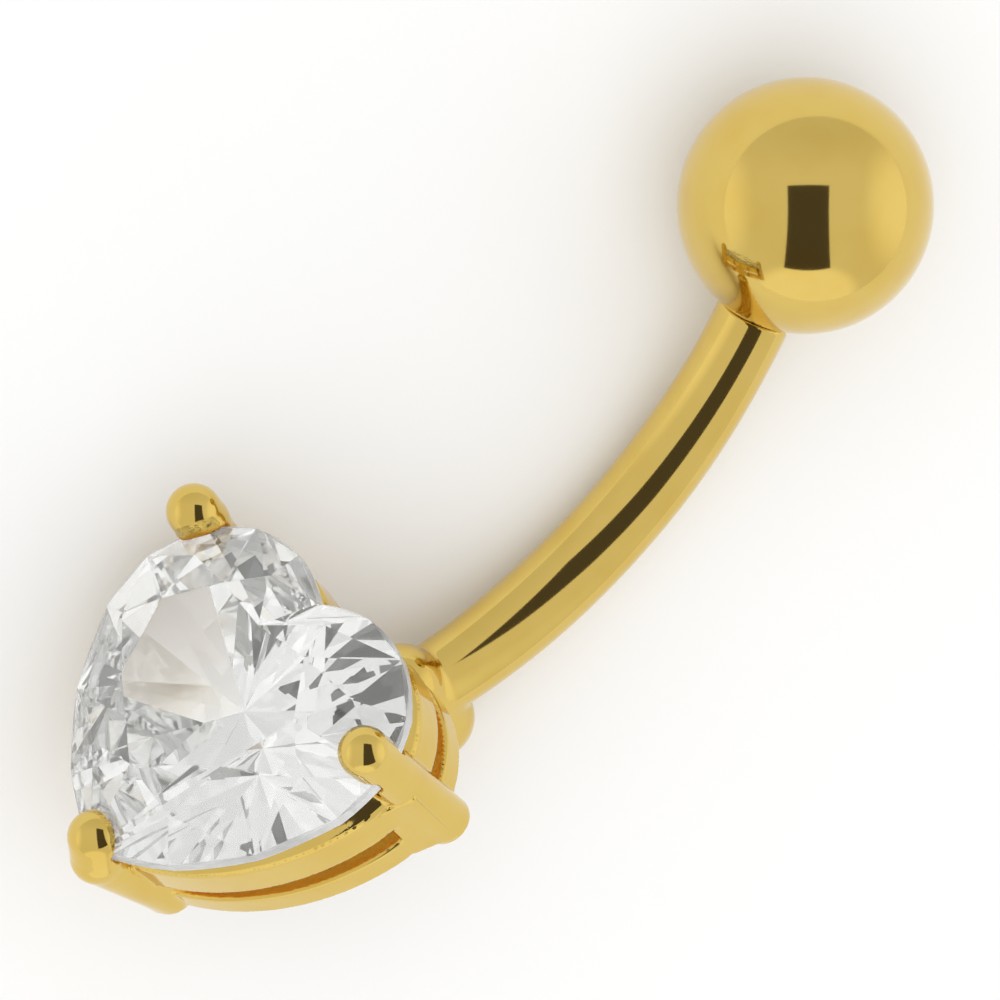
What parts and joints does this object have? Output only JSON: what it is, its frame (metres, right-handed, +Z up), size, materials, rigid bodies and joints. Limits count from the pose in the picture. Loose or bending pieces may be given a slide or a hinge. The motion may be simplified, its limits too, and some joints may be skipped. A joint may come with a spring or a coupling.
{
  "type": "navel ring",
  "caption": "Curved navel bar with a heart-shaped stone in a pronged open basket at one end and a screw-on round ball at the other, lying on its side",
  "frame": {"origin": "The middle of the ring's footprint, on the table that it lies on", "axes": "+Y runs along the ring from the point of the heart to the ball, +Z is up from the table, and +X completes the right-handed frame. The face of the heart looks toward -X and up"},
  "size_m": [0.008, 0.0216, 0.008],
  "materials": {
    "setting_gold": "cast and polished yellow gold",
    "ball_gold": "mirror-polished yellow gold",
    "heart_gem": "clear faceted stone, polished"
  },
  "bodies": {
    "ring": {"bar_and_setting": "setting_gold", "heart_stone": "heart_gem"},
    "screw_ball": {"ball": "ball_gold"}
  },
  "joints": [
    {"name": "ball_unscrew", "type": "slide", "parent": "ring", "child": "screw_ball", "axis": [-0.3713, 0.8689, 0.3274], "range_m": [0, 0.003]}
  ]
}
